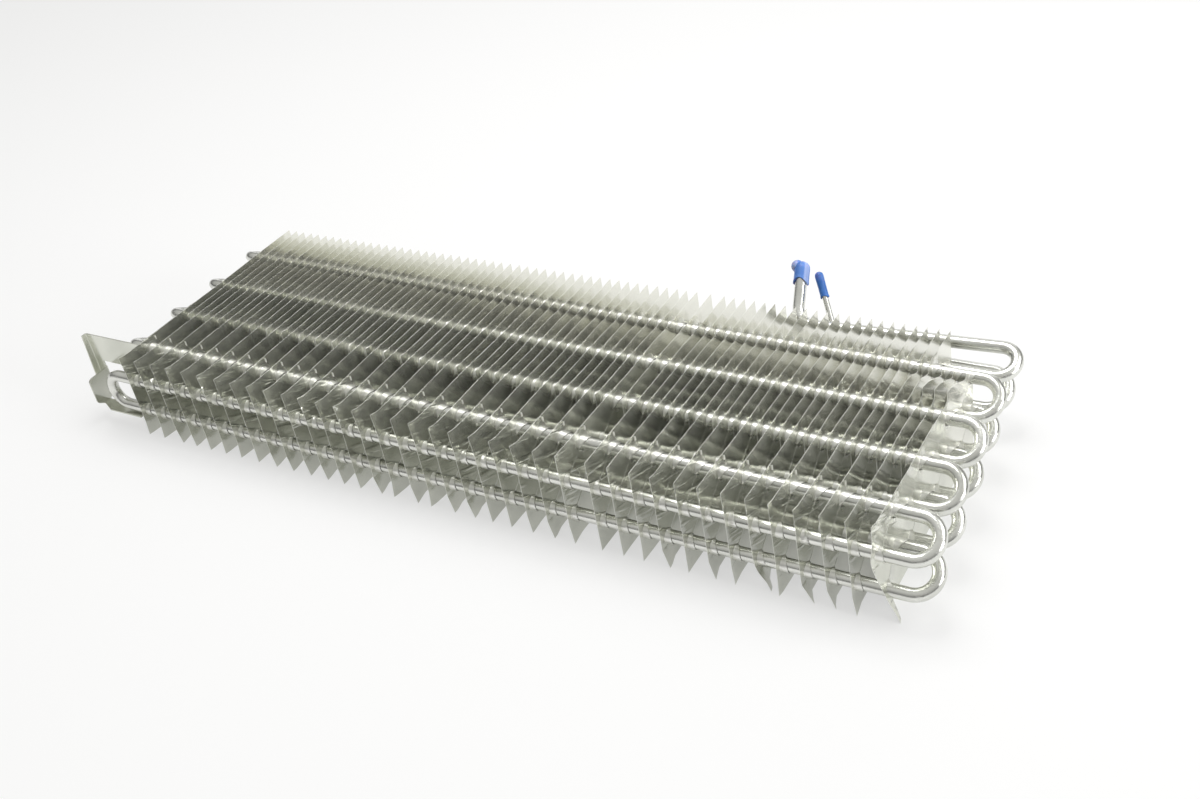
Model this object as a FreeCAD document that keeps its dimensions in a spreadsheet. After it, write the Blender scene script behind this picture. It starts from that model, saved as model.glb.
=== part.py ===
import FreeCAD, Part
import Sketcher
import math
import os

# Evaporator of a frost-free refrigerator: one aluminium tube bent back and forth in two
# stacked rows, thin fins pushed over its hairpins, a folded end bracket and two capped stubs.
# X runs along the tubes towards the hairpin ends, Y from the front fin edges to the back,
# Z up from the bottom fin edges. Lengths are millimetres, angles degrees.
sizes = {
    "tube_od": 8.0,
    "tube_wall": 0.7,
    "bore_depth": 14.0,
    # Cross-section: five hairpins side by side in each of two rows.
    "hairpin_pitch": 42.7,
    "leg_run": 21.4,
    "leg_rise": 13.0,
    "tier_drop": 24.5,
    "front_leg": 28.8,
    "fin_over": 10.1,
    # Ends of the bends, measured from the outermost fins.
    "reach_right": 32.5,
    "reach_right_low": 31.6,
    "skew_right": 2.7,
    "skew_right_low": 3.7,
    "reach_left": 30.0,
    "reach_riser": 35.5,
    # Fins.
    "fin_thick": 0.3,
    "fin_depth": 186.3,
    "fin_tall": 65.8,
    "fin_clear": 0.15,
    "short_front": 62.0,
    "short_back": 160.0,
    "corner_run": 14.0,
    "corner_drop": 9.8,
    "pitch_left": 14.9,
    "wide_gap": 20.3,
    "pitch_right": 14.44,
    # Suction stub: the free leg behind the fins and the pipe that turns up from it.
    "stub_leg": 147.5,
    "stub_drop": 7.3,
    "stub_low": 5.0,
    "stub_bend": 12.0,
    "stub_long": 36.0,
    # Inlet stub.
    "inlet_leg": 107.0,
    "inlet_od": 4.0,
    "inlet_turn": 11.5,
    "inlet_bend": 10.0,
    "inlet_long": 44.0,
    "joint_clear": 0.1,
    # Caps.
    "cap_od": 10.4,
    "cap_at": 28.0,
    "cap_long": 10.5,
    "knob_od": 8.4,
    "knob_out": 3.6,
    "knob_up": 12.6,
    "small_cap_od": 5.8,
    "small_cap_at": 33.0,
    "small_cap_long": 15.0,
    "cap_clear": 0.1,
    # End bracket. Its heights are measured from the upper legs that it hangs on.
    "sheet": 1.0,
    "fold_inside": 0.6,
    "corner_round": 3.0,
    "web_gap": 2.8,
    "web_rise": 7.3,
    "web_long": 56.0,
    "web_drop": 14.7,
    "flange_out": 4.5,
    "flange_foot": 6.0,
    "flange_drop": 28.7,
    "tab_at": 9.6,
    "tab_out": 20.0,
    "tab_top": 19.7,
    "tab_drop": 39.7,
    "tongue_drop": 43.7,
    "tongue_front": 14.0,
    "tongue_back": 9.0,
    "tongue_root": 5.0,
    "tongue_wide_at": 22.0,
    "tongue_end": 53.0,
    "plate_past": 6.5,
    "plate_rise": 8.2,
    "plate_drop": 18.7,
    "plate_gap": 3.0,
}
columns = 5
left_fins = 25
right_fins = 13
fins_in_group = 3

doc = FreeCAD.newDocument("evaporator")
sheet = doc.addObject("Spreadsheet::Sheet", "sizes")
for row, (name, value) in enumerate(sizes.items(), start=1):
    sheet.set("A%d" % row, name)
    sheet.set("B%d" % row, str(value))
    sheet.setAlias("B%d" % row, name)
doc.recompute()
size = {name: float(sheet.get(name)) for name in sizes}


def amount(text):
    """Value of a sum of sizes and numbers, such as 'web_gap + tube_od / 2'."""
    total = 0.0
    sign = 1.0
    last = 0.0
    halving = False
    for word in text.split():
        if word in ("+", "-"):
            sign = 1.0 if word == "+" else -1.0
        elif word == "/":
            halving = True
        elif halving:
            total += last / float(word) - last
            halving = False
        else:
            last = sign * (size[word] if word in size else float(word))
            total += last
    return total


def bound(text):
    """The same sum as an expression that reads the spreadsheet."""
    return " ".join("sizes." + word if word in size else word for word in text.split())


# Places that follow from the sizes.
first_fin = 0.0
last_fin = (left_fins - 1) * size["pitch_left"] + size["wide_gap"]
last_fin += (right_fins - 1) * size["pitch_right"]
hole_wide = size["tube_od"] + 2 * size["fin_clear"]
leg_gap = math.hypot(size["leg_run"], size["leg_rise"])
upper_leg = size["fin_tall"] - size["fin_over"]
web_y = size["front_leg"] - size["tube_od"] / 2 - size["web_gap"]


def leg_t(column, row):
    """Rear upper leg of a hairpin: column 0 is the front one, row 0 the upper one."""
    y = size["front_leg"] + column * size["hairpin_pitch"]
    return y, upper_leg - row * size["tier_drop"]


def leg_m(column, row):
    """Front lower leg of the same hairpin."""
    y, z = leg_t(column, row)
    return y - size["leg_run"], z - size["leg_rise"]


def turn_right_x(column, row):
    """How far right the outside of a hairpin's bend reaches."""
    if row == 0:
        return last_fin + size["reach_right"] - column * size["skew_right"]
    return last_fin + size["reach_right_low"] - column * size["skew_right_low"]


def direction(x, y, z):
    return FreeCAD.Vector(x, y, z).normalize()


suction_way = direction(-0.15, 0.72, 0.68)
inlet_way = direction(-0.44, 0.52, 0.73)


def attach(sketch, body, role, offset="0"):
    """Lays a sketch on one of its own body's origin planes, or parallel to it at an offset."""
    plane = next(item for item in body.Origin.OriginFeatures if item.Role == role)
    sketch.AttachmentSupport = [(plane, "")]
    sketch.MapMode = "FlatFace"
    sketch.setExpression("AttachmentOffset.Base.z", bound(offset))


def add_outline(sketch, corners):
    """Closed outline whose corners are tied to the spreadsheet, each an (across, up) pair."""
    points = [FreeCAD.Vector(amount(across), amount(up), 0) for across, up in corners]
    first = sketch.GeometryCount
    for index, point in enumerate(points):
        sketch.addGeometry(Part.LineSegment(point, points[(index + 1) % len(points)]), False)
    for index in range(len(points)):
        following = first + (index + 1) % len(points)
        sketch.addConstraint(Sketcher.Constraint("Coincident", first + index, 2, following, 1))
    for index, (across, up) in enumerate(corners):
        for kind, text in (("DistanceX", across), ("DistanceY", up)):
            line = first + index
            made = sketch.addConstraint(Sketcher.Constraint(kind, -1, 1, line, 1, amount(text)))
            sketch.setExpression("Constraints[%d]" % made, bound(text))


def add_slot(sketch, across, up):
    """Inclined slot that takes both legs of a hairpin, round the line between their centres."""
    start = FreeCAD.Vector(amount(across + " - leg_run"), amount(up + " - leg_rise"), 0)
    end = FreeCAD.Vector(amount(across), amount(up), 0)
    along = (end - start).normalize() * (hole_wide / 2)
    aside = FreeCAD.Vector(-along.y, along.x, 0)
    corners = [start - along - aside, end + along - aside, end + along + aside, start - along + aside]
    for index, corner in enumerate(corners):
        sketch.addGeometry(Part.LineSegment(corner, corners[(index + 1) % 4]), False)
    middle = sketch.addGeometry(Part.LineSegment(start, end), True)
    for index in range(4):
        sketch.addConstraint(Sketcher.Constraint("Coincident", index, 2, (index + 1) % 4, 1))
    for line in (0, 2):
        sketch.addConstraint(Sketcher.Constraint("Parallel", line, middle))
    for line in (1, 3):
        sketch.addConstraint(Sketcher.Constraint("Perpendicular", line, middle))
    half = "tube_od / 2 + fin_clear"
    ends = ((1, across + " - leg_run", up + " - leg_rise"), (2, across, up))
    for place, text_x, text_y in ends:
        for kind, text in (("DistanceX", text_x), ("DistanceY", text_y)):
            made = sketch.addConstraint(Sketcher.Constraint(kind, -1, 1, middle, place, amount(text)))
            sketch.setExpression("Constraints[%d]" % made, bound(text))
    for place, line in ((1, 0), (1, 2), (1, 3), (2, 1)):
        rule = Sketcher.Constraint("Distance", middle, place, line, hole_wide / 2)
        made = sketch.addConstraint(rule)
        sketch.setExpression("Constraints[%d]" % made, bound(half))


def add_hole(sketch, across, up):
    """Round hole that clears the tube."""
    centre = FreeCAD.Vector(amount(across), amount(up), 0)
    circle = Part.Circle(centre, FreeCAD.Vector(0, 0, 1), hole_wide / 2)
    ring = sketch.addGeometry(circle, False)
    made = sketch.addConstraint(Sketcher.Constraint("Radius", ring, hole_wide / 2))
    sketch.setExpression("Constraints[%d]" % made, bound("tube_od / 2 + fin_clear"))
    for kind, text in (("DistanceX", across), ("DistanceY", up)):
        made = sketch.addConstraint(Sketcher.Constraint(kind, -1, 1, ring, 3, amount(text)))
        sketch.setExpression("Constraints[%d]" % made, bound(text))


def pad(body, sketch, name, thickness):
    feature = body.newObject("PartDesign::Pad", name)
    feature.Profile = sketch
    feature.setExpression("Length", bound(thickness))


def fin_blank(name, front, back, trimmed):
    """A stamped fin: sheet outline, one slot in each row, and the slots repeated across it."""
    body = doc.addObject("PartDesign::Body", name)
    outline = body.newObject("Sketcher::SketchObject", name + "_outline")
    attach(outline, body, "YZ_Plane")
    corners = [(front, "0"), (back, "0"), (back, "fin_tall"), (front, "fin_tall")]
    if trimmed:
        corners[2:3] = [(back, "fin_tall - corner_drop"), (back + " - corner_run", "fin_tall")]
    add_outline(outline, corners)
    pad(body, outline, name + "_sheet", "fin_thick")
    doc.recompute()
    plain = body.Shape.Volume
    cuts = []
    for row, up in enumerate(("fin_tall - fin_over", "fin_tall - fin_over - tier_drop")):
        slot = body.newObject("Sketcher::SketchObject", "%s_slot_%d" % (name, row))
        attach(slot, body, "YZ_Plane")
        add_slot(slot, "front_leg", up)
        cut = body.newObject("PartDesign::Pocket", "%s_cut_%d" % (name, row))
        cut.Profile = slot
        cut.Type = "ThroughAll"
        cut.Midplane = True
        cuts.append(cut)
    spread = body.newObject("PartDesign::LinearPattern", name + "_slots")
    spread.Originals = cuts
    spread.Direction = (body.getObject(name + "_outline"), ["H_Axis"])
    spread.Occurrences = columns
    spread.setExpression("Length", "%d * sizes.hairpin_pitch" % (columns - 1))
    body.Tip = spread
    doc.recompute()
    if body.Shape.Volume >= plain:
        raise RuntimeError(name + ": the slots cut nothing")
    return body.Shape


def rounded_path(stops):
    """Straight runs joined by tangent arcs. Each stop is a corner and how far from it its arc starts."""
    edges = []
    last = stops[0][0]
    for (before, _), (corner, reach), (after, _) in zip(stops, stops[1:], stops[2:]):
        back = (before - corner).normalize()
        ahead = (after - corner).normalize()
        half = back.getAngle(ahead) / 2
        enter = corner + back * reach
        leave = corner + ahead * reach
        centre = corner + (back + ahead).normalize() * (reach / math.cos(half))
        middle = centre + (corner - centre).normalize() * (reach * math.tan(half))
        if last.distanceToPoint(enter) > 1e-4:
            edges.append(Part.LineSegment(last, enter).toShape())
        edges.append(Part.Arc(enter, middle, leave).toShape())
        last = leave
    edges.append(Part.LineSegment(last, stops[-1][0]).toShape())
    return Part.Wire(edges)


def swept_tube(path, diameter):
    """Round bar along a path, with its volume compared with section times length."""
    start = path.Edges[0]
    centre = start.valueAt(start.FirstParameter)
    ring = Part.Circle(centre, start.tangentAt(start.FirstParameter), diameter / 2)
    bar = path.makePipeShell([Part.Wire(ring.toShape())], True, False)
    expected = math.pi * diameter**2 / 4 * path.Length
    if abs(bar.Volume - expected) > 0.005 * expected:
        raise RuntimeError("a swept tube lost its shape: %.0f for %.0f" % (bar.Volume, expected))
    return bar


def at(x, leg):
    return FreeCAD.Vector(x, leg[0], leg[1])


def turn(first, second):
    """The two corners of a bend between neighbouring legs, as one half circle."""
    reach = (second - first).Length / 2
    return [(first, reach), (second, reach)]


def coil_stops():
    """Corners of the whole tube, from the inlet leg through the lower row to the suction stub."""
    back = columns - 1
    outside = size["tube_od"] / 2
    left = first_fin - size["reach_left"] + outside
    riser = first_fin - size["reach_riser"] + outside
    start = turn_right_x(back, 1) - size["inlet_leg"]
    stops = [(at(start, leg_t(back, 1)), 0)]
    for column in range(back, -1, -1):
        right = turn_right_x(column, 1) - outside
        stops += turn(at(right, leg_t(column, 1)), at(right, leg_m(column, 1)))
        if column:
            stops += turn(at(left, leg_m(column, 1)), at(left, leg_t(column - 1, 1)))
    stops += turn(at(riser, leg_m(0, 1)), at(riser, leg_m(0, 0)))
    for column in range(back):
        right = turn_right_x(column, 0) - outside
        stops += turn(at(right, leg_m(column, 0)), at(right, leg_t(column, 0)))
        stops += turn(at(left, leg_t(column, 0)), at(left, leg_m(column + 1, 0)))
    right = turn_right_x(back, 0) - outside
    stops += turn(at(right, leg_m(back, 0)), at(right, leg_t(back, 0)) - up * size["stub_low"])
    foot = stops[-1][0] - FreeCAD.Vector(size["stub_leg"], 0, size["stub_drop"])
    stops.append((foot, size["stub_bend"]))
    stops.append((foot + suction_way * size["stub_long"], 0))
    return stops


def make_coil(stops):
    """The tube with its two open ends bored, one for the cap and one for the inlet tube."""
    bar = swept_tube(rounded_path(stops), size["tube_od"])
    deep = size["bore_depth"]
    bore = size["tube_od"] / 2 - size["tube_wall"]
    mouth = stops[-1][0]
    socket = size["inlet_od"] / 2 + size["joint_clear"]
    bar = bar.cut(Part.makeCylinder(bore, deep, mouth - suction_way * deep, suction_way))
    return bar.cut(Part.makeCylinder(socket, deep, stops[0][0], FreeCAD.Vector(1, 0, 0)))


def make_inlet(socket):
    """Thin tube seated in the inlet leg, bent up and back past the suction leg."""
    inside = socket + FreeCAD.Vector(size["bore_depth"] - size["joint_clear"], 0, 0)
    corner = socket - FreeCAD.Vector(size["inlet_turn"], 0, 0)
    end = corner + inlet_way * size["inlet_long"]
    return swept_tube(rounded_path([(inside, 0), (corner, size["inlet_bend"]), (end, 0)]), size["inlet_od"])


def ball(name, diameter, across, height):
    item = doc.addObject("Part::Sphere", name)
    item.setExpression("Radius", bound(diameter + " / 2"))
    item.setExpression("Placement.Base.x", bound(across))
    item.setExpression("Placement.Base.z", bound(height))
    return item


def barrel(name, radius, height):
    item = doc.addObject("Part::Cylinder", name)
    item.setExpression("Radius", bound(radius))
    item.setExpression("Height", bound(height))
    return item


def make_cap(name, outer, length, inner, depth, knob=False):
    """Soft closed cap pushed over a tube's end: skirt, domed end and, on the large one, a knob."""
    pieces = [barrel(name + "_skirt", outer + " / 2", length), ball(name + "_dome", outer, "0", length)]
    if knob:
        pieces.append(ball(name + "_knob", "knob_od", "0 - knob_out", "knob_up"))
    whole = doc.addObject("Part::MultiFuse", name + "_whole")
    whole.Shapes = pieces
    cut = doc.addObject("Part::Cut", name)
    cut.Label = name
    cut.Base = whole
    cut.Tool = barrel(name + "_bore", inner + " / 2 + cap_clear", depth + " + cap_clear")
    return cut


def add_fold(body, name, plane, offset, corners):
    """One more face of a folded sheet."""
    outline = body.newObject("Sketcher::SketchObject", name + "_outline")
    attach(outline, body, plane, offset)
    add_outline(outline, corners)
    pad(body, outline, name, "sheet")


def round_edges(body, name, radius, places):
    """Rounds the edges on which the given points lie."""
    doc.recompute()
    base = body.Tip
    chosen = []
    for point in places:
        spot = Part.Vertex(FreeCAD.Vector(*point))
        for index, edge in enumerate(base.Shape.Edges, start=1):
            if spot.distToShape(edge)[0] < 1e-4:
                chosen.append("Edge%d" % index)
    if len(chosen) != len(places):
        raise RuntimeError("%s: %d edges found for %d places" % (name, len(chosen), len(places)))
    fillet = body.newObject("PartDesign::Fillet", name)
    fillet.Base = (base, chosen)
    fillet.setExpression("Radius", bound(radius))
    body.Tip = fillet


def make_bracket():
    """Folded sheet: slotted plate on the left bends, a web out to the left with a flange, and a
    tab whose foot turns under the bend that joins the two tiers."""
    body = doc.addObject("PartDesign::Body", "end_bracket")
    body.Label = "end_bracket"
    root, tab_right = "tab_at - sheet", "tab_at + sheet"
    corners = [("0", "0 - flange_drop"), (root, "0 - flange_drop"), (root, "0 - tab_drop")]
    corners += [(tab_right, "0 - tab_drop"), (tab_right, "0 - tab_top"), (root, "0 - tab_top")]
    corners += [(root, "0 - web_drop"), ("web_long", "0 - web_drop")]
    corners += [("web_long", "web_rise"), ("0", "web_rise")]
    add_fold(body, "web", "XZ_Plane", "0", corners)
    corners = [("0 - flange_foot", "0 - flange_drop"), ("0", "0 - flange_drop"), ("0", "web_rise")]
    add_fold(body, "flange", "YZ_Plane", "0", corners + [("0 - flange_out", "web_rise")])
    corners = [("0 - tab_out", "0 - tab_drop"), ("0 - tongue_front", "0 - tongue_drop")]
    corners += [("0 - tongue_back", "0 - tongue_drop"), ("0 - tongue_root", "0 - tab_drop")]
    corners += [("0", "0 - tab_drop"), ("0", "0 - tab_top"), ("0 - tab_out", "0 - tab_top")]
    add_fold(body, "tab", "YZ_Plane", "tab_at", corners)
    corners = [("tab_at", "0 - tongue_front"), ("tongue_wide_at", "0 - tab_out")]
    corners += [("tongue_end", "0 - tab_out"), ("tongue_end", "0 - tongue_back")]
    add_fold(body, "tongue", "XY_Plane", "0 - tongue_drop", corners + [("tab_at", "0 - tongue_back")])
    plate = body.newObject("Sketcher::SketchObject", "plate_outline")
    attach(plate, body, "YZ_Plane", "web_long")
    first_leg = "web_gap + tube_od / 2"
    next_leg = first_leg + " + hairpin_pitch"
    deep = next_leg + " + plate_past"
    corners = [("0 - sheet", "0 - plate_drop"), (deep, "0 - plate_drop")]
    add_outline(plate, corners + [(deep, "plate_rise"), ("0 - sheet", "plate_rise")])
    add_hole(plate, first_leg, "0")
    add_hole(plate, next_leg + " - leg_run", "0 - leg_rise")
    add_hole(plate, next_leg, "0")
    pad(body, plate, "plate", "sheet")
    thick = size["sheet"]
    left = size["tab_at"]
    middle = -(size["tab_top"] + size["tab_drop"]) / 2
    round_edges(body, "folds_inside", "fold_inside", [(thick, -thick, 0), (left, -thick, middle)])
    round_edges(body, "folds_outside", "fold_inside + sheet", [(0, 0, 0), (left + thick, 0, middle)])
    corners = [(left + thick / 2, -size["tab_out"], -size[high]) for high in ("tab_top", "tab_drop")]
    round_edges(body, "tab_corners", "corner_round", corners)
    return body


def long_stations():
    """Where the full-depth fins sit along the tubes: closer together right of the wide gap."""
    places = [first_fin + index * size["pitch_left"] for index in range(left_fins)]
    start = places[-1] + size["wide_gap"]
    return places + [start + index * size["pitch_right"] for index in range(right_fins)]


def place(node, base, rotation=FreeCAD.Rotation()):
    """Puts a sub-part where it belongs in the frame whose origin is the middle of the base."""
    node.Placement = FreeCAD.Placement(base - origin, rotation)
    nodes.append(node)


def solid_node(name, shape, base):
    """A sub-part whose shape is made from the sheet's values, placed afterwards."""
    node = doc.addObject("Part::Feature", name)
    node.Label = name
    node.Shape = shape
    place(node, base)


up = FreeCAD.Vector(0, 0, 1)
stops = coil_stops()
foot = stops[-2][0]
socket = stops[0][0]
inlet_corner = socket - FreeCAD.Vector(size["inlet_turn"], 0, 0)
suction_seat = foot + suction_way * size["cap_at"]
inlet_seat = inlet_corner + inlet_way * size["small_cap_at"]
suction_turn = FreeCAD.Rotation(up, suction_way)
web_left = first_fin - size["plate_gap"] - size["sheet"] - size["web_long"]

# The origin is the middle of the box round the whole part, at its lowest point.
dome = suction_seat + suction_way * size["cap_long"]
knob = suction_seat + suction_turn.multVec(FreeCAD.Vector(-size["knob_out"], 0, size["knob_up"]))
back_edge = max(dome.y + size["cap_od"] / 2, knob.y + size["knob_od"] / 2)
right_edge = last_fin + size["reach_right"]
origin = FreeCAD.Vector((web_left + right_edge) / 2, back_edge / 2, 0)
nodes = []

solid_node("serpentine_tube", make_coil(stops), FreeCAD.Vector())
solid_node("inlet_tube", make_inlet(socket), FreeCAD.Vector())
suction_cap = make_cap("suction_cap", "cap_od", "cap_long", "tube_od", "stub_long - cap_at", knob=True)
inlet_cap = make_cap("inlet_cap", "small_cap_od", "small_cap_long", "inlet_od", "inlet_long - small_cap_at")
place(suction_cap, suction_seat, suction_turn)
place(inlet_cap, inlet_seat, FreeCAD.Rotation(up, inlet_way))
place(make_bracket(), FreeCAD.Vector(web_left, web_y, upper_leg))

blanks = {
    ("long", False): fin_blank("long_blank", "0", "fin_depth", False),
    ("short", False): fin_blank("short_blank", "short_front", "fin_depth", False),
    ("long", True): fin_blank("long_trimmed", "0", "short_back", True),
    ("short", True): fin_blank("short_trimmed", "short_front", "short_back", True),
}
places = long_stations()
trimmed_from = last_fin - 1.6 * size["pitch_right"]
for index, x in enumerate(places, start=1):
    blank = blanks[("long", x > trimmed_from)]
    solid_node("long_fin_%02d" % index, blank.copy(), FreeCAD.Vector(x, 0, 0))
between = [(left + right) / 2 for left, right in zip(places, places[1:])]
for start in range(0, len(between), fins_in_group):
    group = []
    for x in between[start : start + fins_in_group]:
        fin = blanks[("short", x > trimmed_from)].copy()
        fin.translate(FreeCAD.Vector(x - between[start], 0, 0))
        group.append(fin)
    name = "short_fins_%02d" % (start // fins_in_group + 1)
    solid_node(name, Part.makeCompound(group), FreeCAD.Vector(between[start], 0, 0))

doc.recompute()
for item in doc.Objects:
    if "Invalid" in item.State or "Error" in item.State:
        raise RuntimeError("%s failed: %s" % (item.Name, item.State))
os.makedirs("parts", exist_ok=True)
for node in nodes:
    if node.Shape.isNull() or not node.Shape.isValid():
        raise RuntimeError(node.Label + " has no sound shape")
    node.Shape.exportStep("parts/%s.step" % node.Label)
whole = Part.makeCompound([node.Shape for node in nodes])
box = whole.BoundBox
print("%d parts, %d solids" % (len(nodes), len(whole.Solids)))
print("y %.2f..%.2f z %.2f..%.2f" % (box.YMin, box.YMax, box.ZMin, box.ZMax))
print("tube centre line %.0f mm" % rounded_path(stops).Length)
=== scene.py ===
import math
import random

import bmesh
import bpy
from mathutils import Matrix, Vector, noise


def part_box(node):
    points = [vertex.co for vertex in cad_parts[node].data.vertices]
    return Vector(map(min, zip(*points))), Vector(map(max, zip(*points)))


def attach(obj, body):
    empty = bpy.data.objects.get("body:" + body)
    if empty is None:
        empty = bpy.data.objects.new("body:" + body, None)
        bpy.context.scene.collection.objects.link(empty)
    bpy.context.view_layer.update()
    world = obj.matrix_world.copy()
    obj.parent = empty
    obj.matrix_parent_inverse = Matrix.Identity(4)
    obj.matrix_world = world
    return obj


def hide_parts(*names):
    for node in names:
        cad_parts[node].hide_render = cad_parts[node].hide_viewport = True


# The looks of a frost-free refrigerator's evaporator: stamped fins pushed over a bent tube.
# X runs along the tubes, Y from the front fin edges to the back, Z up. Lengths are metres.
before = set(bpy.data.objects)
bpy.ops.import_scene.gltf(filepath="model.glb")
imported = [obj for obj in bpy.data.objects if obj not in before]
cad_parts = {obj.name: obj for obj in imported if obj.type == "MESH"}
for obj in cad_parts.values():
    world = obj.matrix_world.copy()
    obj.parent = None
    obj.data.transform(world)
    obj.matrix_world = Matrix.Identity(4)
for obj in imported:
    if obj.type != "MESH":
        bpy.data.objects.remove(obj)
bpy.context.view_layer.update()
mm = 0.001


# Shader maths

class Signal:
    # A shader socket that takes part in plain Python expressions.

    def __init__(self, nodes, socket):
        self.nodes = nodes
        self.socket = socket

    def mix(self, operation, first, second):
        return self.nodes.add("ShaderNodeMath", {"operation": operation}, {0: first, 1: second})

    def __add__(self, other):
        return self.mix("ADD", self, other)

    __radd__ = __add__

    def __sub__(self, other):
        return self.mix("SUBTRACT", self, other)

    def __rsub__(self, other):
        return self.mix("SUBTRACT", other, self)

    def __mul__(self, other):
        return self.mix("MULTIPLY", self, other)

    __rmul__ = __mul__


class Nodes:
    # The node tree of a material or of the world, while it is built.

    def __init__(self, tree):
        self.tree = tree
        self.tree.nodes.clear()

    def add(self, kind, settings, inputs, output=0):
        node = self.tree.nodes.new(kind)
        for name, value in settings.items():
            if name == "stops":
                setStops(node.color_ramp, value)
            else:
                setattr(node, name, value)
        for name, value in inputs.items():
            if isinstance(value, Signal):
                self.tree.links.new(value.socket, node.inputs[name])
            else:
                node.inputs[name].default_value = value
        return Signal(self, node.outputs[output])

    def show(self, output, shader, socket="Surface"):
        self.tree.links.new(shader.socket, self.tree.nodes.new(output).inputs[socket])

    def place(self, axis=None):
        where = self.add("ShaderNodeTexCoord", {}, {}, "Object")
        return self.add("ShaderNodeSeparateXYZ", {}, {"Vector": where}, axis) if axis else where

    def mark(self, name):
        # An attribute that the mesh code writes.
        return self.add("ShaderNodeAttribute", {"attribute_name": name}, {}, "Fac")

    def speckle(self, scale, detail, stretch=(1, 1, 1), turn=None):
        # Noise, stretched along the axes or, with a turn, along a slope.
        inputs = {"Vector": self.place(), "Scale": stretch}
        settings = {}
        if turn is not None:
            inputs["Rotation"] = turn
            settings["vector_type"] = "TEXTURE"
        where = self.add("ShaderNodeMapping", settings, inputs)
        inputs = {"Vector": where, "Scale": scale, "Detail": detail}
        return self.add("ShaderNodeTexNoise", {}, inputs, "Fac")

    def ramp(self, value, stops):
        return self.add("ShaderNodeValToRGB", {"stops": stops}, {"Fac": value}, "Color")

    def blend(self, share, first, second, way="MIX"):
        # Sockets 6 and 7 and output 2 are the colours of a Mix node.
        settings = {"data_type": "RGBA", "blend_type": way}
        return self.add("ShaderNodeMix", settings, {0: share, 6: first, 7: second}, 2)

    def spread(self, value, span, ends=(0, 1)):
        # Carries the span of a value over to two ends, and no further.
        sockets = ("Value", "From Min", "From Max", "To Min", "To Max")
        inputs = dict(zip(sockets, (value, *span, *ends)))
        return self.add("ShaderNodeMapRange", {}, inputs, "Result")

    def bump(self, height, strength, distance):
        inputs = {"Height": height, "Strength": strength, "Distance": distance}
        return self.add("ShaderNodeBump", {}, inputs, "Normal")

    def rays(self):
        # Whether a ray comes from the camera, and whether it comes off metal or through glass.
        names = ("Is Camera Ray", "Is Glossy Ray", "Is Transmission Ray")
        seen, glossy, clear = (self.add("ShaderNodeLightPath", {}, {}, name) for name in names)
        return seen, glossy + clear


class Finish(Nodes):
    # A material under construction.

    def __init__(self, name):
        self.material = bpy.data.materials.new(name)
        self.material.use_nodes = True
        super().__init__(self.material.node_tree)

    def surface(self, inputs):
        shader = self.add("ShaderNodeBsdfPrincipled", {}, inputs, "BSDF")
        self.show("ShaderNodeOutputMaterial", shader)
        return self.material


def setStops(ramp, stops):
    while len(ramp.elements) < len(stops):
        ramp.elements.new(0.5)
    for element, (position, shade) in zip(ramp.elements, stops):
        element.position = position
        element.color = shade if isinstance(shade, tuple) else (shade, shade, shade, 1)


# Materials

usualNoise = (0.3, 0.7)  # the span that nearly all of a noise lies in

finLook = {
    "clouds": {"scale": 38, "detail": 4},
    "cloudStops": (0.34, 0.62),
    "pale": (0.76, 0.77, 0.70, 1),
    "dull": (0.64, 0.65, 0.585, 1),
    # Painted back light: the sheet is painted lighter towards the back. Its colour, from where to
    # where, how unevenly.
    "backLitSheet": (0.825, 0.825, 0.755, 1),
    "backLitSpan": (-0.005, 0.025),
    "backLitBlur": 0.02,
    "metallic": 0.82,
    "rough": (0.13, 0.24),
    # Fine lines left by the rolls.
    "rolled": {"scale": 900, "detail": 2, "stretch": (0.05, 1, 0.04)},
    "rolledShare": 0.15,
    # The drawn lips round the tube.
    "stretched": (0.84, 0.84, 0.80, 1),
    "metallicDrawn": 0.12,
    "roughDrawn": 0.18,
    # The bright burr on the cut edges, which is blended in less towards the back, where the sheet
    # carries the painted back light.
    "sheared": (0.86, 0.86, 0.82, 1),
    "roughSheared": 0.35,
    "burrFades": 0.6,
    # Relief: slow waves, the rolls' lines, and short creases in front of the upper legs.
    "bump": 0.6,
    "waves": {"scale": 30, "detail": 1},
    "waveTall": 0.58 * mm,
    "rolledTall": 0.006 * mm,
    "creases": {"scale": 230, "detail": 1, "stretch": (1, 7, 1), "turn": (math.radians(-22), 0, 0)},
    "creaseStops": (0.54, 0.70),
    "creaseTall": 0.8 * mm,
    "creasedDepth": (-0.078, -0.098),  # from none to all of it, towards the front edge
    "creasedHeight": (0.022, 0.040),
}


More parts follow.
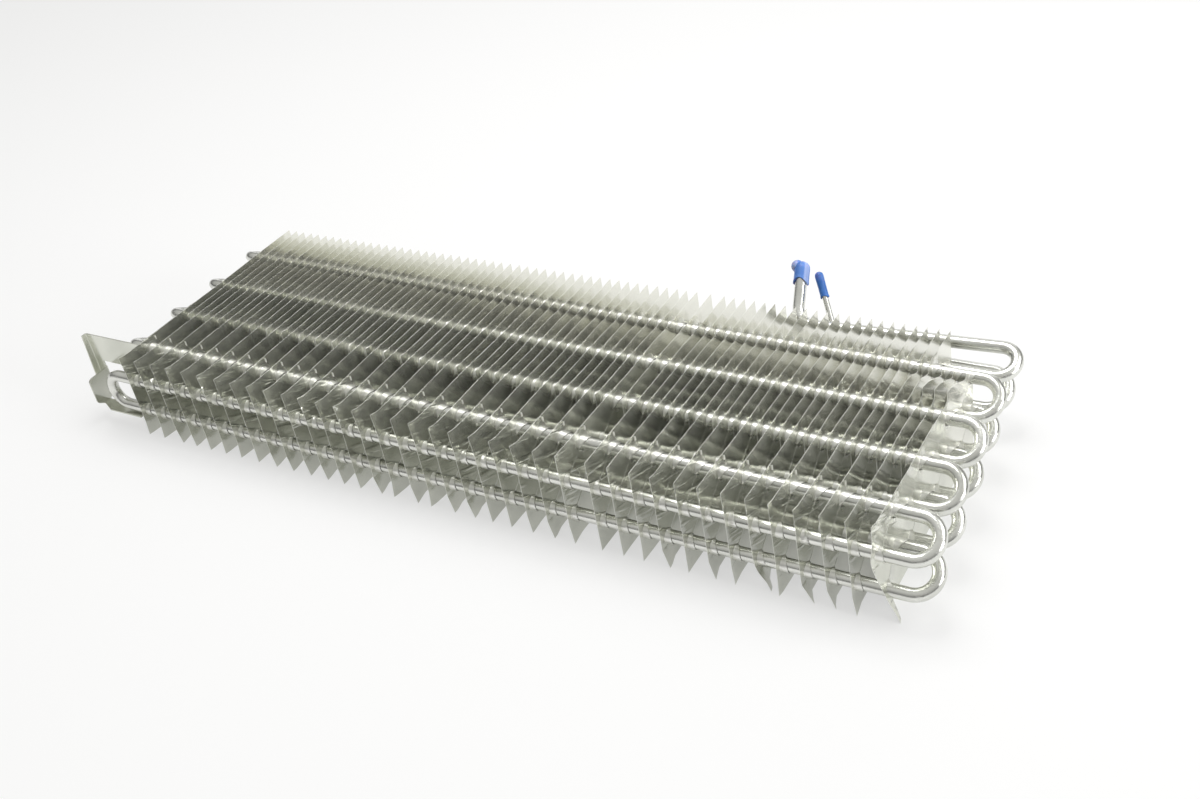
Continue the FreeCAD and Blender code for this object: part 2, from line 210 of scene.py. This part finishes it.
def finMaterial(name, creaseTall):
    look = finLook
    finish = Finish(name)
    clouds = finish.speckle(**look["clouds"])
    rolled = finish.speckle(**look["rolled"])
    depth = finish.place("Y")
    # Painted back light: a share that grows towards the back, where the sheet is painted lighter.
    backLight = finish.spread(depth + clouds * look["backLitBlur"], look["backLitSpan"])
    drawn = finish.mark("drawn")
    burr = finish.mark("burr") * (1 - backLight * look["burrFades"])

    front = finish.ramp(clouds, list(zip(look["cloudStops"], (look["dull"], look["pale"]))))
    # The sheet's colour is painted lighter towards the back, as painted back light.
    sheet = finish.blend(backLight, front, look["backLitSheet"])
    colour = finish.blend(drawn, sheet, look["stretched"])
    colour = finish.blend(burr, colour, look["sheared"])

    grain = rolled * look["rolledShare"] + clouds * (1 - look["rolledShare"])
    rough = finish.spread(grain, usualNoise, look["rough"])
    rough = rough + drawn * look["roughDrawn"] + burr * look["roughSheared"]
    metal = drawn * look["metallicDrawn"] + look["metallic"]

    creases = finish.spread(finish.speckle(**look["creases"]), look["creaseStops"])
    creases = creases * finish.spread(depth, look["creasedDepth"])
    creases = creases * finish.spread(finish.place("Z"), look["creasedHeight"])
    waves = finish.speckle(**look["waves"])
    relief = waves * look["waveTall"] + rolled * look["rolledTall"] + creases * creaseTall
    bump = finish.bump(relief, look["bump"], 1.0)
    return finish.surface(
        {"Base Color": colour, "Roughness": rough, "Metallic": metal, "Normal": bump}
    )


tubeLook = {
    "clouds": {"scale": 60, "detail": 4, "stretch": (0.35, 1, 1)},
    "cloudStops": (0.3, 0.6),
    "pale": (0.77, 0.775, 0.735, 1),
    "dull": (0.60, 0.605, 0.565, 1),
    "streaks": {"scale": 700, "detail": 3, "stretch": (0.03, 1, 1)},  # left by the drawing die
    "streakShare": 0.6,
    "rough": (0.19, 0.31),
    "bump": 0.08,
    "bumpTall": 1 * mm,
}


def tubeMaterial():
    look = tubeLook
    finish = Finish("drawnTube")
    clouds = finish.speckle(**look["clouds"])
    streaks = finish.speckle(**look["streaks"])
    colour = finish.ramp(clouds, list(zip(look["cloudStops"], (look["dull"], look["pale"]))))
    grain = streaks * look["streakShare"] + clouds * (1 - look["streakShare"])
    rough = finish.spread(grain, usualNoise, look["rough"])
    bump = finish.bump(streaks, look["bump"], look["bumpTall"])
    return finish.surface(
        {"Base Color": colour, "Roughness": rough, "Metallic": 1.0, "Normal": bump}
    )


capLook = {
    "clouds": {"scale": 160, "detail": 3},
    "rough": (0.34, 0.46),
    "bump": 0.12,
    "bumpTall": 1 * mm,
    "softness": 0.1,
    # Deep and light shade of the plastic, and the painted highlight of the ball.
    "large": ((0.07, 0.19, 0.60, 1), (0.12, 0.27, 0.70, 1), (0.33, 0.43, 0.76, 1)),
    "small": ((0.03, 0.13, 0.44, 1), (0.06, 0.20, 0.56, 1), (0.06, 0.20, 0.56, 1)),
}


def capMaterial(name, shades):
    look = capLook
    finish = Finish(name)
    deep, light, ballHighlight = shades
    clouds = finish.speckle(**look["clouds"])
    plastic = finish.ramp(clouds, list(zip(usualNoise, (deep, light))))
    # The ball's vertices, marked pale, take a lighter colour: a painted highlight.
    colour = finish.blend(finish.mark("pale"), plastic, ballHighlight)
    rough = finish.spread(clouds, usualNoise, look["rough"])
    bump = finish.bump(clouds, look["bump"], look["bumpTall"])
    return finish.surface(
        {
            "Base Color": colour,
            "Roughness": rough,
            "Normal": bump,
            "Subsurface Weight": look["softness"],
        }
    )


finSheet = finMaterial("rolledFinSheet", finLook["creaseTall"])
bracketSheet = finMaterial("rolledBracketSheet", 0.0)
drawnTube = tubeMaterial()
largeCapPlastic = capMaterial("largeCapPlastic", capLook["large"])
smallCapPlastic = capMaterial("smallCapPlastic", capLook["small"])
print("materials made")


# Mesh helpers

def addObject(name, data):
    made = bpy.data.objects.new(name, data)
    bpy.context.scene.collection.objects.link(made)
    return made


def addMesh(name, bm):
    mesh = bpy.data.meshes.new(name)
    bm.to_mesh(mesh)
    bm.free()
    return mesh


def takeIn(bm, part):
    # Adds the mesh of another bmesh, and returns the vertices that came with it.
    before = len(bm.verts)
    mesh = addMesh("onePart", part)
    bm.from_mesh(mesh)
    bpy.data.meshes.remove(mesh)
    bm.verts.ensure_lookup_table()
    return bm.verts[before:]


def slicePlane(bm, point, normal, clear=True):
    # Cuts along a plane and, if told to, takes away what lies on the normal's side.
    geometry = bm.verts[:] + bm.edges[:] + bm.faces[:]
    bmesh.ops.bisect_plane(
        bm, geom=geometry, dist=1e-6, plane_co=point, plane_no=normal, clear_outer=clear
    )


def finishPiece(bm, name, material, node):
    sharpAngle = math.radians(40)
    for face in bm.faces:
        face.smooth = True
    mesh = addMesh(name, bm)
    mesh.set_sharp_from_angle(angle=sharpAngle)
    mesh.materials.append(material)
    piece = addObject(name, mesh)
    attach(piece, "root")
    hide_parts(node)


# Fins

finForm = {
    "hairpinPitch": 42.7 * mm,
    "legRun": 21.4 * mm,
    "legRise": 13.0 * mm,
    "rowDrop": 24.5 * mm,
    "frontLeg": 28.8 * mm,  # from the front edge to the first upper leg
    "upperLeg": 55.7 * mm,
    "rows": 2,
    "columns": 5,
    "thickness": 0.15 * mm,
    "rimSides": 24,
    "arcSpread": 1.867,  # opens each end of a slot to more than a half circle
    "slitReach": 1.2,  # how far from the leg the narrow slit starts, in radii
    "lipFalls": 0.8,  # how fast a lip's height falls off towards the slit
    # Rings of the drawn lips, from the flat sheet in: radius, half width of the slit, height.
    "wideLip": (
        (8.6 * mm, 1.2 * mm, 0.0),
        (6.2 * mm, 0.8 * mm, 0.2 * mm),
        (4.45 * mm, 0.4 * mm, 0.55 * mm),
        (4.38 * mm, 0.25 * mm, 0.9 * mm),
    ),
    "tightLip": (
        (5.4 * mm, 1.2 * mm, 0.0),
        (4.8 * mm, 0.8 * mm, 0.0),
        (4.45 * mm, 0.4 * mm, 0.05 * mm),
        (4.38 * mm, 0.25 * mm, 0.35 * mm),
    ),
    "sleeve": (4.35 * mm, 0.25 * mm),
    # Lengths of the sleeves on the upper and the lower leg of the front hairpins and of the others.
    "frontSleeves": (7.0 * mm, 5.2 * mm),
    "backSleeves": (5.7 * mm, 5.0 * mm),
    "fullyDrawn": 0.3 * mm,  # the height at which a lip is as bright as a sleeve
    "margin": 0.4 * mm,  # flat sheet left round the lips
    # The nib punched out above the front hairpin: depth, height, size and the angle it stands at.
    "nibPlace": (33.6 * mm, 62.6 * mm),
    "nibSize": (3.2 * mm, 0.9 * mm),
    "nibStands": -60,
    "dogEar": (5.0 * mm, 14.0 * mm),  # the fold at the front top corner, along and down
    "hemOut": 0.1 * mm,  # the burr that the shears leave on the front and top edges
    "hemAcross": 0.03 * mm,
    "bevelRun": 14.0 * mm,  # the cut corner of the last fins
    "bevelDrop": 9.8 * mm,
}
turnUpright = Matrix(((0, 0, 1, 0), (1, 0, 0, 0), (0, 1, 0, 0), (0, 0, 0, 1)))  # flat sheet to YZ


def lipLoop(bm, rings, centre):
    # One closed loop round an inclined slot: round at the two legs, narrow between them.
    # The first ring is that of the upper leg.
    form = finForm
    drawn = bm.verts.layers.float["drawn"]
    half = math.hypot(form["legRun"], form["legRise"]) / 2
    step = math.pi / form["rimSides"]
    stretch = 1 / math.cos(form["arcSpread"] * step)
    loop = bmesh.ops.create_circle(bm, segments=form["rimSides"], radius=1)["verts"]
    bmesh.ops.rotate(bm, verts=loop, matrix=Matrix.Rotation(step, 3, "Z"))
    for vert in loop:
        side = math.copysign(1, vert.co.x)
        radius, slit, tall = rings[0] if side > 0 else rings[1]
        angle = math.atan2(vert.co.y, abs(vert.co.x))
        if abs(angle) > math.pi / 2 - 1.5 * step:
            inward = half - radius * form["slitReach"]
            vert.co = (side * inward, math.copysign(slit, angle), 0)
            continue
        angle *= form["arcSpread"]
        across = half + radius * stretch * math.cos(angle)
        vert[drawn] = min(1.0, tall / form["fullyDrawn"])
        rise = tall * (0.5 + 0.5 * math.cos(form["lipFalls"] * angle))
        vert.co = (side * across, radius * stretch * math.sin(angle), rise)
    slope = math.atan2(form["legRise"], form["legRun"])
    bmesh.ops.rotate(bm, verts=loop, matrix=Matrix.Rotation(slope, 3, "Z"))
    bmesh.ops.translate(bm, verts=loop, vec=(*centre, 0))
    return list({edge for vert in loop for edge in vert.link_edges})


def slotCell(bm, centre, low, high, upperLip, sleeves):
    # The sheet round one slot: a rectangle, and the lip drawn up from it.
    form = finForm
    corners = bmesh.ops.create_circle(bm, segments=4, radius=math.sqrt(0.5))["verts"]
    bmesh.ops.rotate(bm, verts=corners, matrix=Matrix.Rotation(math.pi / 4, 3, "Z"))
    bmesh.ops.scale(bm, verts=corners, vec=(form["hairpinPitch"], high - low, 1))
    bmesh.ops.translate(bm, verts=corners, vec=(centre[0], (low + high) / 2, 0))
    sides = [edge for edge in bm.edges if edge.is_wire]
    bmesh.ops.subdivide_edges(bm, edges=sides, cuts=form["rimSides"] // 4 - 1)
    rim = [edge for edge in bm.edges if edge.is_wire]
    upperRings = form[upperLip] + ((*form["sleeve"], sleeves[0]),)
    lowerRings = form["tightLip"] + ((*form["sleeve"], sleeves[1]),)
    loops = [lipLoop(bm, rings, centre) for rings in zip(upperRings, lowerRings)]
    for vert in {vert for loop in loops for edge in loop for vert in edge.verts}:
        vert.co.y = min(max(vert.co.y, low + form["margin"]), high - form["margin"])
    for outer, inner in zip([rim] + loops, loops):
        bmesh.ops.bridge_loops(bm, edges=outer + inner)


def extrudeBorder(bm, axis, level, shift):
    # Widens the sheet past the boundary edges that lie at one level across (0) or up (1).
    border = [
        edge
        for edge in bm.edges
        if edge.is_boundary and all(abs(vert.co[axis] - level) < 1e-6 for vert in edge.verts)
    ]
    made = bmesh.ops.extrude_edge_only(bm, edges=border)
    verts = [item for item in made["geom"] if isinstance(item, bmesh.types.BMVert)]
    bmesh.ops.translate(bm, verts=verts, vec=shift)
    return verts


def punchNib(bm):
    # A narrow strip that stands out of the sheet.
    tall, out = finForm["nibSize"]
    stands = math.radians(finForm["nibStands"])
    nib = bmesh.ops.create_grid(bm, x_segments=1, y_segments=1, size=0.5)["verts"]
    bmesh.ops.scale(bm, verts=nib, vec=(out, tall, 1))
    bmesh.ops.translate(bm, verts=nib, vec=(out / 2, 0, 0))
    bmesh.ops.rotate(bm, verts=nib, matrix=Matrix.Rotation(stands, 3, "Y"))
    bmesh.ops.translate(bm, verts=nib, vec=(*finForm["nibPlace"], 0))
    return nib


def finBlank(front, back, height, bevelled):
    # One sheet with all its slots, lying flat: x is the depth and y the height.
    form = finForm
    fullDepth = front < mm
    bm = bmesh.new()
    bm.verts.layers.float.new("drawn")
    bm.verts.layers.float.new("burr")
    hem, ledge = form["hemOut"], form["hemAcross"]
    firstSlot = form["frontLeg"] - form["legRun"] / 2
    topSlot = form["upperLeg"] - form["legRise"] / 2
    halfDrop = form["rowDrop"] / 2
    for row in range(form["rows"]):
        up = topSlot - row * form["rowDrop"]
        high = up + halfDrop if row else height - hem
        lip = "tightLip" if row else "wideLip"
        for column in range(form["columns"]):
            sleeves = form["backSleeves"] if column else form["frontSleeves"]
            centre = (firstSlot + column * form["hairpinPitch"], up)
            slotCell(bm, centre, up - halfDrop, high, lip, sleeves)
    bmesh.ops.remove_doubles(bm, verts=bm.verts[:], dist=1e-5)
    # The sheet under the slots comes down to zero in two equal strips.
    bottom = topSlot - (form["rows"] - 0.5) * form["rowDrop"]
    extrudeBorder(bm, 1, bottom, (0, -bottom / 2, 0))
    extrudeBorder(bm, 1, bottom / 2, (0, -bottom / 2, 0))
    slicePlane(bm, (front + hem, 0, 0), (-1, 0, 0))
    slicePlane(bm, (back, 0, 0), (1, 0, 0))
    bright = extrudeBorder(bm, 1, height - hem, (0, hem, ledge))
    bright += extrudeBorder(bm, 0, front + hem, (-hem, 0, ledge))
    burr = bm.verts.layers.float["burr"]
    for vert in bright:
        vert[burr] = 1.0
    if fullDepth:
        along, down = form["dogEar"]
        slicePlane(bm, (0, height - down, 0), (-down, along, 0), clear=False)
    if bevelled:
        corner = (back, height - form["bevelDrop"], 0)
        slicePlane(bm, corner, (form["bevelDrop"], form["bevelRun"], 0))
    if fullDepth:
        for vert in punchNib(bm):
            vert[burr] = 1.0
    bmesh.ops.recalc_face_normals(bm, faces=bm.faces[:])
    if sum(face.normal.z for face in bm.faces) < 0:
        bmesh.ops.reverse_faces(bm, faces=bm.faces[:])
    bmesh.ops.transform(bm, matrix=turnUpright, verts=bm.verts[:])
    return bm


# Wear of the fins

finWear = {
    "seed": 7,
    # Waves that neighbours share, and each fin's own: height, scales along the depth and up.
    "wave": 0.9 * mm,
    "waveScales": (24, 14),
    "waveDrifts": 6,  # how fast the shared waves change along the tubes
    "ownWave": 0.16 * mm,
    "ownScales": (40, 30),
    "ownPlaces": 90,
    "stiffFoot": 0.25,  # share of the waves that is left at the bottom
    "lean": 0.45 * mm,
    "leanAbout": 0.4,  # height that a leaning fin turns about, as a share
    # Curl of the whole front edge, with its least and greatest share.
    "curl": 0.8 * mm,
    "curlShares": (-0.4, 1),
    "curlReach": 6.0 * mm,
    # Turn of the front top corners in degrees, which is strongest on the left.
    "earTurn": 18,
    "earShares": (0.3, 1.3),
    "strongUpTo": 0.08,
    "weakShare": 0.25,
    # Bend of the lower front tips.
    "tip": 3.4 * mm,
    "tipShares": (-0.5, 1),
    "tipReach": 12.0 * mm,
    # Single dents: the span of stations, then the middle, the reach and the shift of each one.
    # Middle and reach are along the depth and up, the shift is along the tubes and back.
    "dents": (
        ((0.285, 0.30), (0.0, 0.0), (13.0 * mm, 24.0 * mm), (9.0 * mm, 2.5 * mm)),
        ((0.285, 0.30), (0.0, 40.0 * mm), (7.0 * mm, 10.0 * mm), (-2.0 * mm, 0.0)),
        ((0.213, 0.22), (0.0, 0.0), (11.0 * mm, 12.0 * mm), (8.0 * mm, 2.0 * mm)),
        ((0.24, 0.265), (0.0, 0.0), (5.0 * mm, 8.0 * mm), (4.0 * mm, 1.0 * mm)),
        ((0.27, 0.30), (127.0 * mm, 60.0 * mm), (8.0 * mm, 10.0 * mm), (-5.0 * mm, 0.0)),
        ((0.255, 0.30), (141.0 * mm, 66.0 * mm), (6.0 * mm, 8.0 * mm), (3.5 * mm, 0.0)),
    ),
}


def dentFin(vert, station, here):
    for (low, high), middle, reach, shift in finWear["dents"]:
        if low < station < high:
            share = math.exp(-sum(((a - b) / c) ** 2 for a, b, c in zip(here, middle, reach)))
            vert.co.x += shift[0] * share
            vert.co.y += shift[1] * share


def wearFin(bm, chance, front, height, station):
    # Handling leaves each fin a little wavy, leaning and bent at its front corners.
    wear = finWear
    place = chance.uniform(0, wear["ownPlaces"])
    lean = chance.uniform(-1, 1) * wear["lean"]
    curl = chance.uniform(*wear["curlShares"]) * wear["curl"]
    tip = chance.uniform(*wear["tipShares"]) * wear["tip"]
    ear = math.radians(wear["earTurn"]) * chance.uniform(*wear["earShares"])
    ear *= 1 if station < wear["strongUpTo"] else wear["weakShare"]
    along, down = finForm["dogEar"]
    across = math.hypot(along, down)
    (waveDeep, waveUp), (ownDeep, ownUp) = wear["waveScales"], wear["ownScales"]
    for vert in bm.verts:
        deep, up = vert.co.y - front, vert.co.z
        loose = wear["stiffFoot"] + (1 - wear["stiffFoot"]) * up / height
        spot = Vector((deep * waveDeep, up * waveUp, station * wear["waveDrifts"]))
        wave = noise.noise(spot) * wear["wave"] * loose
        spot = Vector((deep * ownDeep, up * ownUp, place))
        wave += noise.noise(spot) * wear["ownWave"] * loose
        nearEdge = max(0, 1 - deep / wear["curlReach"])
        nearTip = max(0, 1 - deep / wear["tipReach"]) * max(0, 1 - up / wear["tipReach"])
        leaning = lean * (up / height - wear["leanAbout"])
        vert.co.x += wave + leaning - nearEdge ** 2 * curl + nearTip * tip
        dentFin(vert, station, (vert.co.y, up))
        if front < mm:
            past = (along * down - deep * down - (height - up) * along) / across
            vert.co.x -= max(0, past) * math.sin(ear)


def stations(node):
    # Where the separate fins of a node stand along X.
    xs = sorted({round(vert.co.x, 5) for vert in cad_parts[node].data.vertices})
    return [x for index, x in enumerate(xs) if index == 0 or x - xs[index - 1] > 2 * mm]


def makeFins():
    chance = random.Random(finWear["seed"])
    firstLow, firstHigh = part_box("long_fin_01")
    frontEdge, fullDepth, height = firstLow.y, firstHigh.y - firstLow.y, firstHigh.z
    blanks = {}
    for node in sorted(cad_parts):
        if not node.startswith(("long_fin", "short_fins")):
            continue
        low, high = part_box(node)
        front, back = low.y - frontEdge, high.y - frontEdge
        ends = (round(front, 5), round(back, 5))
        if ends not in blanks:
            blanks[ends] = finBlank(front, back, height, back < fullDepth - mm)
        whole = bmesh.new()
        for x in stations(node):
            fin = blanks[ends].copy()
            wearFin(fin, chance, front, height, x)
            bmesh.ops.translate(fin, verts=fin.verts[:], vec=(x, frontEdge, 0))
            bmesh.ops.solidify(fin, geom=fin.faces[:], thickness=finForm["thickness"])
            takeIn(whole, fin)
        name = node.replace("long_fin_", "longFin").replace("short_fins_", "shortFins")
        finishPiece(whole, name, finSheet, node)
    for blank in blanks.values():
        blank.free()


makeFins()
print("fins made")


# Caps

# Each cap: where its mouth is and which way it points, then the turned outline as radius and
# height in millimetres, from inside the bore round the mouth to the top, and how far the mouth
# arches up at the front.
capForm = {
    "suction_cap": {
        "mouth": (155.5 * mm, 102.5 * mm, 61.7 * mm),
        "way": (-0.15, 0.72, 0.68),
        "outline": (
            (0.0, 10.8), (4.1, 10.8), (4.1, 0.4), (4.3, 0.05), (4.9, 0.0), (5.3, 0.3), (5.25, 1.4),
            (5.1, 3.0), (5.1, 6.5), (5.15, 10.2), (4.95, 11.9), (4.3, 13.5), (3.2, 14.6),
            (1.7, 15.35), (0.0, 15.6),
        ),
        "arch": 3.6 * mm,
        "archReach": 6.0 * mm,
        # The ball at the top, cut off where it meets the dome.
        "ball": (-3.6 * mm, 0.0, 12.6 * mm),
        "ballRadius": 4.2 * mm,
        "ballCut": 3.0 * mm,
        "domeMiddle": 10.5 * mm,
    },
    "inlet_cap": {
        "mouth": (173.1 * mm, 100.41 * mm, 55.32 * mm),
        "way": (-0.44, 0.52, 0.73),
        "outline": (
            (0.0, 11.2), (2.1, 11.2), (2.1, 0.3), (2.25, 0.0), (2.8, 0.0), (3.0, 0.25), (2.95, 1.0),
            (2.75, 2.0), (2.75, 8.0), (2.9, 14.8), (2.7, 16.2), (2.1, 17.2), (1.1, 17.8),
            (0.0, 17.95),
        ),
        "arch": 1.2 * mm,
        "archReach": 4.0 * mm,
    },
}
capSteps = 40  # round each cap
ballSides = (28, 16)  # round and up the ball


def turnOutline(bm, outline):
    verts = [bmesh.ops.create_vert(bm, co=(r * mm, 0, z * mm))["vert"][0] for r, z in outline]
    edges = [bm.edges.new(pair) for pair in zip(verts, verts[1:])]
    bmesh.ops.spin(
        bm,
        geom=verts + edges,
        cent=(0, 0, 0),
        axis=(0, 0, 1),
        angle=math.tau,
        steps=capSteps,
        use_merge=True,
    )
    bmesh.ops.remove_doubles(bm, verts=bm.verts[:], dist=1e-6)


def addBall(bm, form):
    ball = bmesh.new()
    around, up = ballSides
    made = bmesh.ops.create_uvsphere(
        ball, u_segments=around, v_segments=up, radius=form["ballRadius"]
    )
    bmesh.ops.translate(ball, verts=made["verts"], vec=form["ball"])
    dome = Vector((0, 0, form["domeMiddle"]))
    out = (Vector(form["ball"]) - dome).normalized()
    slicePlane(ball, dome + out * form["ballCut"], -out)
    # The ball is marked pale, which gives it a painted highlight colour.
    pale = bm.verts.layers.float["pale"]
    for vert in takeIn(bm, ball):
        vert[pale] = 1.0


def makeCap(node, name, material):
    # A soft cap turned round the tube's axis, its mouth arched at the front.
    form = capForm[node]
    bm = bmesh.new()
    bm.verts.layers.float.new("pale")
    turnOutline(bm, form["outline"])
    for vert in bm.verts:
        near = max(0, 1 - vert.co.z / form["archReach"])
        front = max(0, -vert.co.y / max(1e-6, vert.co.xy.length))
        vert.co.z += form["arch"] * near * front ** 2
    if "ball" in form:
        addBall(bm, form)
    bmesh.ops.recalc_face_normals(bm, faces=bm.faces[:])
    turn = Vector((0, 0, 1)).rotation_difference(Vector(form["way"])).to_matrix().to_4x4()
    bmesh.ops.transform(bm, matrix=Matrix.Translation(form["mouth"]) @ turn, verts=bm.verts[:])
    finishPiece(bm, name, material, node)


makeCap("suction_cap", "suctionCap", largeCapPlastic)
makeCap("inlet_cap", "inletCap", smallCapPlastic)
print("caps made")


# Carried-over solids

carriedOver = {
    "serpentine_tube": drawnTube,
    "inlet_tube": drawnTube,
    "end_bracket": bracketSheet,
}
for node, material in carriedOver.items():
    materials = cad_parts[node].data.materials
    materials.clear()
    materials.append(material)
print("carried-over solids dressed")


# Stage

floorLook = {
    "size": 6.0,
    "grey": (0.86, 0.86, 0.86, 1),
    "glow": (1, 1, 1, 1),
    "seen": 0.55,  # share of the glow that the camera sees
    "mirrored": 0.4,  # and the share that metal shows
}


def makeFloor():
    look = floorLook
    bm = bmesh.new()
    bmesh.ops.create_grid(bm, x_segments=1, y_segments=1, size=look["size"])
    floor = addObject("floor", addMesh("floor", bm))
    finish = Finish("paleFloor")
    plain = finish.add("ShaderNodeBsdfDiffuse", {}, {"Color": look["grey"]}, "BSDF")
    glow = {"Color": look["glow"], "Strength": 1.0}
    glow = finish.add("ShaderNodeEmission", {}, glow, "Emission")
    seen, mirrored = finish.rays()
    share = seen * look["seen"] + mirrored * look["mirrored"]
    mixed = finish.add("ShaderNodeMixShader", {}, {0: share, 1: plain, 2: glow}, "Shader")
    finish.show("ShaderNodeOutputMaterial", mixed)
    floor.data.materials.append(finish.material)


skyLook = {
    # Height of the direction looked in, from straight down (0) to straight up (1), and its grey.
    "stops": [
        (0.47, 0.80),
        (0.50, 0.10),
        (0.60, 0.16),
        (0.70, 0.62),
        (0.80, 0.78),
        (0.90, 0.95),
        (1.0, 1.0),
    ],
    "warmth": (0.66, 0.657, 0.634, 1),
    "backdrop": (1, 1, 1, 1),
    "mirrored": 0.08,  # how much of the white backdrop metal shows
}


def makeWorld():
    look = skyLook
    world = bpy.data.worlds.new("studio")
    bpy.context.scene.world = world
    world.use_nodes = True
    sky = Nodes(world.node_tree)
    way = sky.add("ShaderNodeTexCoord", {}, {}, "Generated")
    up = sky.add("ShaderNodeSeparateXYZ", {}, {"Vector": way}, "Z")
    grey = sky.ramp(up * 0.5 + 0.5, look["stops"])
    tinted = sky.blend(1.0, grey, look["warmth"], "MULTIPLY")
    seen, mirrored = sky.rays()
    colour = sky.blend(seen + mirrored * look["mirrored"], tinted, look["backdrop"])
    glow = sky.add("ShaderNodeBackground", {}, {"Color": colour}, "Background")
    sky.show("ShaderNodeOutputWorld", glow)


softboxes = {
    "overhead": {"place": (-0.1, 0.35, 1.3), "aim": (0, 0.05, 0), "size": 0.7, "power": 8},
    "rightSide": {"place": (2.9, -0.2, 0.95), "aim": (0, 0, 0), "size": 0.9, "power": 32},
    "rightHigh": {"place": (1.5, 0.65, 1.45), "aim": (-0.1, 0, 0), "size": 1.1, "power": 11},
    "behind": {"place": (-0.3, 2.3, 0.5), "aim": (0, 0.1, 0.05), "size": 1.6, "power": 6},
}


def makeLights():
    for name, box in softboxes.items():
        light = bpy.data.lights.new(name, "AREA")
        light.size = box["size"]
        light.energy = box["power"]
        lamp = addObject(name, light)
        lamp.location = box["place"]
        way = Vector(box["aim"]) - Vector(box["place"])
        lamp.rotation_euler = way.to_track_quat("-Z", "Y").to_euler()


cameraLook = {
    "place": (0.51736, -0.64608, 0.5604),
    # Degrees: round to the right, down from level, and the turn of the picture.
    "round": 35.793,
    "down": 34.306,
    "roll": -10.857,
    "lens": 43.58,
    "sensor": 36.0,
}


def makeCamera():
    look = cameraLook
    data = bpy.data.cameras.new("camera")
    data.lens = look["lens"]
    data.sensor_width = look["sensor"]
    camera = addObject("camera", data)
    turn = Matrix.Rotation(math.radians(look["round"]), 3, "Z")
    turn @= Matrix.Rotation(math.radians(90 - look["down"]), 3, "X")
    turn @= Matrix.Rotation(math.radians(look["roll"]), 3, "Z")
    camera.rotation_euler = turn.to_euler()
    camera.location = look["place"]
    bpy.context.scene.camera = camera


makeFloor()
makeWorld()
makeLights()
makeCamera()
bpy.context.scene.view_settings.view_transform = "Standard"
print("stage made")
